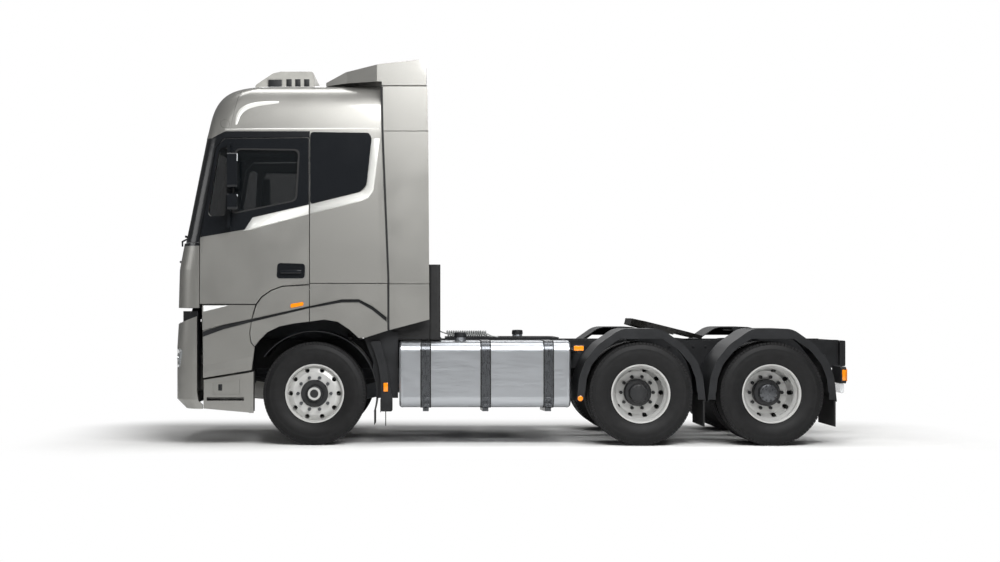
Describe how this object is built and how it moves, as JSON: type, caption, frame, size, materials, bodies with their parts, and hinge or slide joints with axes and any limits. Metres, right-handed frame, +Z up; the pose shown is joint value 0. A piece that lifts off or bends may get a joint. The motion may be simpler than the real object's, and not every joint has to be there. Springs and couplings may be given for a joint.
{
  "type": "semi truck tractor unit",
  "caption": "Six-by-four tractor unit with a high-roof sleeper cab that tilts, opening doors, steered front axle, twin-tyred drive bogie and a tilting coupling plate for semi-trailers.",
  "frame": {"origin": "on the road, midway along the length and across the width", "axes": "+Z up; the front points to -X; the left-hand side, with the long tank, faces -Y"},
  "size_m": [7.09, 3, 3.93],
  "materials": {
    "body_paint": "warm silver-grey metallic",
    "glass": "dark tinted",
    "lamp_lens": "clear",
    "black_plastic": "grained",
    "grey_plastic": "satin",
    "flap_rubber": "matt",
    "seat_fabric": "woven",
    "tank_aluminium": "polished",
    "strap_steel": "brushed over rubber",
    "frame_paint": "black chassis paint",
    "engine_iron": "painted casting",
    "coupling_steel": "greased",
    "tyre": "matt",
    "wheel_steel": "silver"
  },
  "bodies": {
    "chassis": {"air_intake": "black_plastic", "bumper": "body_paint", "bumper_filler": "black_plastic", "crossmembers": "frame_paint", "drive_axles": "frame_paint", "engine": "engine_iron", "fifth_wheel_base": "frame_paint", "frame_rails": "frame_paint", "front_axle_beam": "frame_paint", "fuel_tanks": "tank_aluminium", "headlamps": "lamp_lens", "leaf_springs": "frame_paint", "mud_flaps": "flap_rubber", "mudguards": "black_plastic", "propeller_shafts": "frame_paint", "silencer_box": "tank_aluminium", "step_boxes": "body_paint", "tail_lamps": "black_plastic", "tank_carriers": "strap_steel", "walkway": "tank_aluminium"},
    "cab": {"cab_floor": "frame_paint", "cab_back_wall": "body_paint", "cab_sides": "body_paint", "cab_roof": "body_paint", "front_panel": "body_paint", "windscreen": "glass", "bunk_windows": "glass", "side_fairings": "body_paint", "roof_deflector": "body_paint", "roof_unit": "grey_plastic", "lower_cladding": "body_paint", "seats": "seat_fabric", "bunk": "seat_fabric", "dashboard": "black_plastic"},
    "door_left": {"door_left": "body_paint", "door_glass_left": "glass", "mirror_left": "black_plastic"},
    "door_right": {"door_right": "body_paint", "door_glass_right": "glass", "mirror_right": "black_plastic"},
    "knuckle_left": {"knuckle_left": "frame_paint"},
    "knuckle_right": {"knuckle_right": "frame_paint"},
    "track_rod": {"track_rod": "frame_paint"},
    "fifth_wheel": {"fifth_wheel_plate": "coupling_steel"},
    "wheel_front_left": {"tyre_front_left": "tyre", "wheel_front_left": "wheel_steel"},
    "wheel_front_right": {"tyre_front_right": "tyre", "wheel_front_right": "wheel_steel"},
    "wheels_drive_1_left": {"tyres_drive_1_left": "tyre", "wheels_drive_1_left": "wheel_steel"},
    "wheels_drive_1_right": {"tyres_drive_1_right": "tyre", "wheels_drive_1_right": "wheel_steel"},
    "wheels_drive_2_left": {"tyres_drive_2_left": "tyre", "wheels_drive_2_left": "wheel_steel"},
    "wheels_drive_2_right": {"tyres_drive_2_right": "tyre", "wheels_drive_2_right": "wheel_steel"}
  },
  "joints": [
    {"name": "cab_tilt", "type": "hinge", "parent": "chassis", "child": "cab", "pos_m": [-3.43, 0, 1.257], "axis": [0, -1, 0], "range_deg": [0, 55]},
    {"name": "door_left_hinge", "type": "hinge", "parent": "cab", "child": "door_left", "pos_m": [-3.21, -1.235, 2], "axis": [0, 0, -1], "range_deg": [0, 75]},
    {"name": "door_right_hinge", "type": "hinge", "parent": "cab", "child": "door_right", "pos_m": [-3.21, 1.235, 2], "axis": [0, 0, 1], "range_deg": [0, 75]},
    {"name": "steer_left", "type": "hinge", "parent": "chassis", "child": "knuckle_left", "pos_m": [-2.065, -0.86, 0.527], "axis": [0, 0, 1], "range_deg": [-40, 40]},
    {"name": "steer_right", "type": "hinge", "parent": "chassis", "child": "knuckle_right", "pos_m": [-2.065, 0.86, 0.527], "axis": [0, 0, 1], "range_deg": [-40, 40]},
    {"name": "track_rod_joint", "type": "hinge", "parent": "knuckle_left", "child": "track_rod", "pos_m": [-1.835, -0.86, 0.4], "axis": [0, 0, 1], "range_deg": [-40, 40]},
    {"name": "spin_front_left", "type": "hinge", "parent": "knuckle_left", "child": "wheel_front_left", "pos_m": [-2.065, -1.02, 0.527], "axis": [0, 1, 0], "continuous": true},
    {"name": "spin_front_right", "type": "hinge", "parent": "knuckle_right", "child": "wheel_front_right", "pos_m": [-2.065, 1.02, 0.527], "axis": [0, 1, 0], "continuous": true},
    {"name": "fifth_wheel_tilt", "type": "hinge", "parent": "chassis", "child": "fifth_wheel", "pos_m": [1.595, 0, 1.13], "axis": [0, -1, 0], "range_deg": [0, 26]},
    {"name": "spin_drive_1_left", "type": "hinge", "parent": "chassis", "child": "wheels_drive_1_left", "pos_m": [1.255, -0.92, 0.527], "axis": [0, 1, 0], "continuous": true},
    {"name": "spin_drive_1_right", "type": "hinge", "parent": "chassis", "child": "wheels_drive_1_right", "pos_m": [1.255, 0.92, 0.527], "axis": [0, 1, 0], "continuous": true},
    {"name": "spin_drive_2_left", "type": "hinge", "parent": "chassis", "child": "wheels_drive_2_left", "pos_m": [2.585, -0.92, 0.527], "axis": [0, 1, 0], "continuous": true},
    {"name": "spin_drive_2_right", "type": "hinge", "parent": "chassis", "child": "wheels_drive_2_right", "pos_m": [2.585, 0.92, 0.527], "axis": [0, 1, 0], "continuous": true}
  ],
  "couplings": [
    {"joint": "steer_right", "follows": "steer_left", "ratio": 1},
    {"joint": "track_rod_joint", "follows": "steer_left", "ratio": -1}
  ]
}
